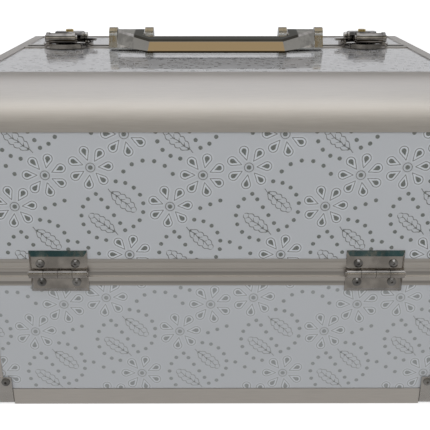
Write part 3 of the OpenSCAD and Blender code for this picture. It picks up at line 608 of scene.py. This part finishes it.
# the latch keepers and levers are darker copies of the chrome: painted dark reflection
keeper_painted_dark_chrome = polished("keeper_painted_dark_chrome", grey(0.40, 0.06), 0.06, 0.5)
latch_painted_dark_chrome = polished("latch_painted_dark_chrome", grey(0.40, 0.05), 0.06, 0.85)
handle_chrome = grip("handle_chrome", grey(0.72, 0.03), 0.05)
bracket_chrome = bracket("bracket_chrome", grey(0.70, -0.02), 0.24)
nickel = polished("hinge_nickel", grey(0.40, 0.07), 0.14, 0.3)
corner_nickel = polished("corner_nickel", grey(0.52, 0.04), 0.24)
rivet_metal = polished("rivet_nickel", grey(0.30, 0.02), 0.12, 0.6)
brass = polished("lock_brass", (0.74, 0.56, 0.24), 0.12)
arm_metal = brushed("arm_steel", grey(0.5), "y", 0.3, 0.08)
black_velvet = velvet("black_velvet", (0.022, 0.022, 0.026))
board = moulded("floor_board", grey(0.05), 0.6)

LOOKS = {
    "base_long_panels": long_lower, "front_lid_long_panel": long_upper, "back_lid_long_panel": long_upper,
    "front_lid_top_panel": shaded_top_print, "back_lid_top_panel": shaded_top_print,
    "base_end_panels": end_print, "front_lid_end_panels": end_print, "back_lid_end_panels": end_print,
    "base_bottom_rails": bottom_metal, "latch_keepers": keeper_painted_dark_chrome,
    "latch_lever_left": latch_painted_dark_chrome, "latch_lever_right": latch_painted_dark_chrome,
    "lock_cylinder_left": brass, "lock_cylinder_right": brass, "handle_bar": handle_chrome,
    "handle_brackets": bracket_chrome,
}
SLOT_LOOKS = {
    "floor_board": board, "rounded_rail": edge_metal, "edging": frame_metal, "rim_rail": rim_metal,
    "corner_fitting": corner_nickel, "lining": black_velvet, "hinge_plate": nickel, "rivet": rivet_metal,
    "pivot_rivet": rivet_metal, "arm_steel": arm_metal, "fitting_chrome": chrome,
    "tray_divider": black_velvet,
}
slots = {item["node"]: item["material_slot"] for item in frame["record"]["subparts"]}
for name, node in nodes.items():
    look = LOOKS.get(name) or SLOT_LOOKS.get(slots[name]) or tray_look(name + "_look", name)
    node.data.materials.clear()
    node.data.materials.append(look)


# ---------------------------------------------------------------- dark strip along the seam: painted shade of the gap between the lids
def block(name, low, high, look, rounding):
    """A box between two corners, with rounded edges."""
    bm = bmesh.new()
    bmesh.ops.create_cube(bm, size=1.0)
    size, centre = high - low, (high + low) / 2
    bmesh.ops.scale(bm, vec=size, verts=bm.verts)
    bmesh.ops.translate(bm, vec=centre, verts=bm.verts)
    bmesh.ops.bevel(bm, geom=bm.edges, offset=rounding, segments=3, profile=0.5, affect="EDGES")
    mesh = bpy.data.meshes.new(name)
    bm.to_mesh(mesh)
    bm.free()
    mesh.materials.append(look)
    made = bpy.data.objects.new(name, mesh)
    bpy.context.scene.collection.objects.link(made)
    return made


SHADE_STRIP_WIDTH, SHADE_STRIP_RISE, SHADE_STRIP_DEPTH, SHADE_STRIP_ROUNDING = 1.2 * MM, 0.5 * MM, 1.5 * MM, 0.2 * MM
# a near-black strip standing in for the shade in the gap between the lids
rubber = moulded("seam_gap_shade", grey(0.02), 0.5)
rail_low, rail_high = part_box("front_lid_seam_rail")
shade_strip_low = Vector((rail_low.x + MM, rail_high.y - SHADE_STRIP_WIDTH, rail_high.z - SHADE_STRIP_DEPTH))
shade_strip_high = Vector((rail_high.x - MM, rail_high.y, rail_high.z + SHADE_STRIP_RISE))
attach(block("seam_gap_shade_strip", shade_strip_low, shade_strip_high, rubber, SHADE_STRIP_ROUNDING), "front_lid")


# ---------------------------------------------------------------- studio
KEY_PLACE, KEY_TARGET, KEY_SIZE, KEY_POWER = (0.0, -1.13, 1.32), (0, -0.1, 0.2), (3.0, 0.45), 8


def area(name, place, target, size, power):
    """A rectangular area light aimed at the target."""
    data = bpy.data.lights.new(name, "AREA")
    data.shape = "RECTANGLE"
    data.size, data.size_y = size
    data.energy = power
    light = bpy.data.objects.new(name, data)
    bpy.context.scene.collection.objects.link(light)
    light.location = place
    light.rotation_euler = (Vector(target) - Vector(place)).to_track_quat("-Z", "Y").to_euler()
    return light


key = area("key", KEY_PLACE, KEY_TARGET, KEY_SIZE, KEY_POWER)
# the flat plated faces mirror the room; the key light itself would burn them out
unlit = bpy.data.collections.new("not_lit_by_key")
for name, node in nodes.items():
    if slots[name] in ("handle_chrome", "fitting_chrome", "hinge_plate"):
        unlit.objects.link(node)
for item in unlit.collection_objects:
    item.light_linking.link_state = "EXCLUDE"
key.light_linking.receiver_collection = unlit

world = bpy.data.worlds.new("world")
bpy.context.scene.world = world
world.use_nodes = True
world.node_tree.nodes.clear()
wg = Graph(world.node_tree)
direction = wg.add("ShaderNodeTexCoord").outputs["Generated"]
split = wg.add("ShaderNodeSeparateXYZ")
wg.link(direction, split.inputs[0])


def bands(steps):
    """Colours by elevation: (elevation in degrees, red, green, blue)."""
    spots = [((math.sin(math.radians(step[0])) + 1) / 2, step[1:]) for step in steps]
    return wg.steps(wg.ramp(split.outputs[2], -1, 1, 0, 1, smooth=False), spots)


GOLD, TEAL, SKY = (0.40, 0.30, 0.17), (0.06, 0.14, 0.155), (1.0, 1.02, 1.06)
front_room = bands([
    (-60, 0.46, 0.45, 0.44), (-12, 0.43, 0.42, 0.40), (6, 0.36, 0.35, 0.32), (24, 0.36, 0.34, 0.30),
    (25, 1.6, 1.6, 1.6), (28, 1.6, 1.6, 1.6), (29, 0.36, 0.34, 0.30), (31, 0.36, 0.34, 0.30),
    (33, *GOLD), (41, *GOLD), (43, *TEAL), (49, *TEAL), (50, 0.20, 0.20, 0.19), (56, 0.24, 0.24, 0.24),
    (60, *SKY), (89, *SKY),
])
back_room = bands([
    (-60, 0.50, 0.50, 0.50), (-5, 0.50, 0.50, 0.50), (2, 0.60, 0.60, 0.61), (18, 0.62, 0.62, 0.63),
    (22, 0.30, 0.30, 0.29), (30, 0.22, 0.21, 0.19), (44, 0.28, 0.27, 0.26), (50, 0.9, 0.9, 0.93), (89, *SKY),
])
room = wg.mix(wg.ramp(split.outputs[1], -0.08, 0.08), front_room, back_room)
path = wg.add("ShaderNodeLightPath")
seen = wg.mix(path.outputs["Is Camera Ray"], room, (1.0, 1.0, 1.0, 1))
background = wg.add("ShaderNodeBackground")
wg.link(seen, background.inputs[0])
wout = wg.add("ShaderNodeOutputWorld")
wg.tree.links.new(background.outputs[0], wout.inputs[0])

FLOOR_HALF, FLOOR_GAP = 6, 0.2 * MM
floor_mesh = bpy.data.meshes.new("floor")
bm = bmesh.new()
bmesh.ops.create_grid(bm, x_segments=1, y_segments=1, size=FLOOR_HALF)
bm.to_mesh(floor_mesh)
bm.free()
floor = bpy.data.objects.new("floor", floor_mesh)
bpy.context.scene.collection.objects.link(floor)
floor.location = (0, 0, cad_low.z - FLOOR_GAP)
glow = {"Emission_Color": (0.97, 0.98, 1.0, 1), "Emission_Strength": 0.6}
floor_mesh.materials.append(material("floor", grey(0.93), roughness=0.7, **glow)[0])
# the object mirrors the studio around it, not the bright floor sheet
floor.visible_glossy = False
floor.visible_diffuse = False
